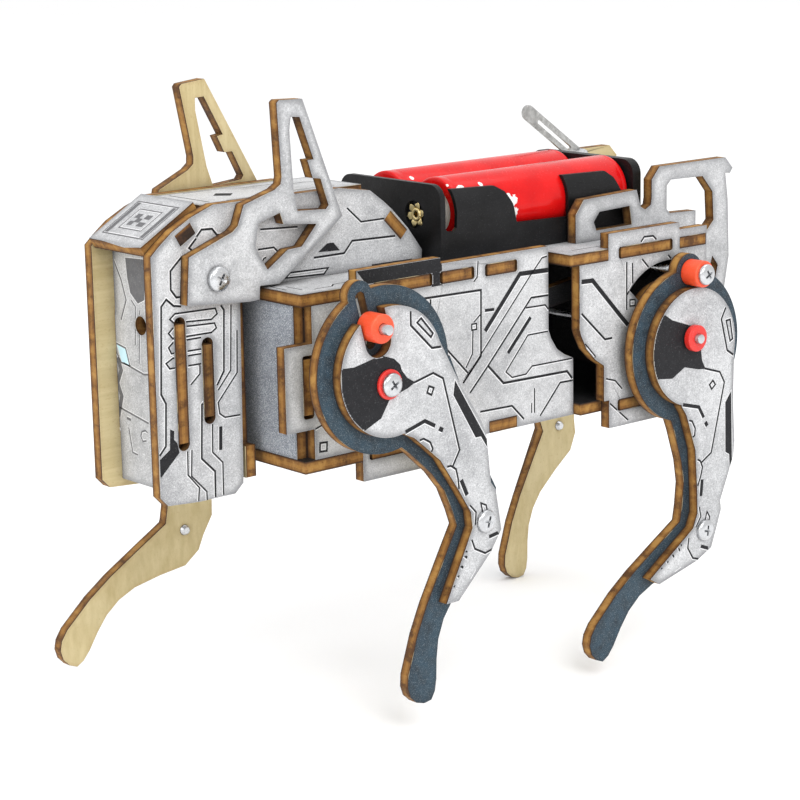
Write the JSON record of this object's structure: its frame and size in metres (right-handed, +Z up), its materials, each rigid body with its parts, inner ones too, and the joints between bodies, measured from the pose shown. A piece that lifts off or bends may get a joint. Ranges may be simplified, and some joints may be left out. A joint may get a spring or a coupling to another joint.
{
  "type": "walking robot dog kit",
  "caption": "Laser-cut plywood quadruped walking toy: box body, deep hollow head with swivelling ears, raised tail plates, crank-driven bent legs and a two-cell battery holder on its back.",
  "frame": {"origin": "under the middle of the overall box, on the level the lowest foot reaches", "axes": "+X forward towards the head, +Y towards the dog's left side, +Z up"},
  "size_m": [0.151, 0.0796, 0.1276],
  "materials": {
    "printed_ply": "matte",
    "bare_ply": "matte",
    "blue_ply": "matte",
    "grey_blue_ply": "matte",
    "zinc_steel": "satin",
    "orange_sleeve": "satin",
    "cell_wrap": "gloss",
    "holder_plastic": "satin",
    "gear_plastic": "satin",
    "motor_case": "satin",
    "brass": "gloss"
  },
  "bodies": {
    "chassis": {"top_plate": "printed_ply", "bottom_plate": "printed_ply", "front_plate": "grey_blue_ply", "rear_plate": "bare_ply", "left_side_panel": "printed_ply", "right_side_panel": "printed_ply", "left_hip_plate": "printed_ply", "right_hip_plate": "printed_ply", "left_tail_plate": "printed_ply", "right_tail_plate": "printed_ply", "tail_strip": "zinc_steel", "tail_screw": "zinc_steel", "left_head_plate": "printed_ply", "right_head_plate": "printed_ply", "face_plate": "printed_ply", "head_inner_plate": "bare_ply", "head_rear_plate": "bare_ply", "brow_plate": "printed_ply", "head_top_plate": "printed_ply", "neck_plate": "bare_ply", "ear_screws": "zinc_steel", "front_axle": "zinc_steel", "rear_axle": "zinc_steel", "rear_axle_caps": "orange_sleeve", "gearbox": "gear_plastic", "motor": "motor_case", "battery_holder": "holder_plastic", "left_cell": "cell_wrap", "right_cell": "cell_wrap", "cell_contacts": "brass"},
    "left_ear_body": {"left_ear": "printed_ply"},
    "left_front_hub": {"left_front_sleeve": "orange_sleeve"},
    "left_front_leg": {"left_front_leg_back": "blue_ply", "left_front_leg_cover": "printed_ply", "left_front_knee_screw": "zinc_steel", "left_front_pin": "zinc_steel", "left_front_washer": "orange_sleeve"},
    "left_rear_leg": {"left_rear_leg_back": "blue_ply", "left_rear_leg_cover": "printed_ply", "left_rear_knee_screw": "zinc_steel", "left_rear_pin": "zinc_steel", "left_rear_sleeve": "orange_sleeve"},
    "left_link_body": {"left_link": "bare_ply"},
    "right_ear_body": {"right_ear": "bare_ply"},
    "right_front_hub": {"right_front_sleeve": "orange_sleeve"},
    "right_front_leg": {"right_front_leg_back": "bare_ply", "right_front_leg_cover": "printed_ply", "right_front_knee_screw": "zinc_steel", "right_front_pin": "zinc_steel", "right_front_washer": "orange_sleeve"},
    "right_rear_leg": {"right_rear_leg_back": "bare_ply", "right_rear_leg_cover": "printed_ply", "right_rear_knee_screw": "zinc_steel", "right_rear_pin": "zinc_steel", "right_rear_sleeve": "orange_sleeve"},
    "right_link_body": {"right_link": "bare_ply"},
    "crank": {"crank_shaft": "zinc_steel", "left_crank": "bare_ply", "right_crank": "bare_ply"}
  },
  "joints": [
    {"name": "left_front_swing", "type": "hinge", "parent": "chassis", "child": "left_front_hub", "pos_m": [0.0422, 0.034, 0.0839], "axis": [0, -1, 0], "range_deg": [-1, 29]},
    {"name": "left_front_slide", "type": "slide", "parent": "left_front_hub", "child": "left_front_leg", "axis": [0.2511, 0, 0.9679], "range_m": [-0.0041, 0.0023]},
    {"name": "right_front_swing", "type": "hinge", "parent": "chassis", "child": "right_front_hub", "pos_m": [0.0422, -0.034, 0.0839], "axis": [0, -1, 0], "range_deg": [-29, 1]},
    {"name": "right_front_slide", "type": "slide", "parent": "right_front_hub", "child": "right_front_leg", "axis": [-0.2665, 0, 0.9638], "range_m": [-0.0023, 0.0041]},
    {"name": "left_rear_swing", "type": "hinge", "parent": "chassis", "child": "left_rear_leg", "pos_m": [-0.0443, 0.033, 0.0696], "axis": [0, -1, 0], "range_deg": [-29, 1]},
    {"name": "right_rear_swing", "type": "hinge", "parent": "chassis", "child": "right_rear_leg", "pos_m": [-0.0443, -0.033, 0.0696], "axis": [0, -1, 0], "range_deg": [-1, 29]},
    {"name": "left_link_pivot", "type": "hinge", "parent": "left_rear_leg", "child": "left_link_body", "pos_m": [-0.0461, 0.01825, 0.083], "axis": [0, -1, 0], "range_deg": [-1, 29]},
    {"name": "right_link_pivot", "type": "hinge", "parent": "right_rear_leg", "child": "right_link_body", "pos_m": [-0.03894, -0.01825, 0.08201], "axis": [0, -1, 0], "range_deg": [-29, 1]},
    {"name": "crank_spin", "type": "hinge", "parent": "chassis", "child": "crank", "pos_m": [0.0421, 0, 0.0714], "axis": [0, 1, 0], "continuous": true},
    {"name": "left_ear_tilt", "type": "hinge", "parent": "chassis", "child": "left_ear_body", "pos_m": [0.0619, 0.01225, 0.093], "axis": [0, 1, 0], "range_deg": [0, 12]},
    {"name": "right_ear_tilt", "type": "hinge", "parent": "chassis", "child": "right_ear_body", "pos_m": [0.0619, -0.01225, 0.093], "axis": [0, 1, 0], "range_deg": [-8.5, 3.5]}
  ],
  "couplings": [
    {"joint": "right_front_swing", "follows": "left_front_swing", "ratio": -1},
    {"joint": "left_rear_swing", "follows": "left_front_swing", "ratio": -1},
    {"joint": "right_rear_swing", "follows": "left_front_swing", "ratio": 1},
    {"joint": "left_link_pivot", "follows": "left_front_swing", "ratio": 1},
    {"joint": "right_link_pivot", "follows": "left_front_swing", "ratio": -1},
    {"joint": "right_front_slide", "follows": "left_front_slide", "ratio": -1}
  ]
}
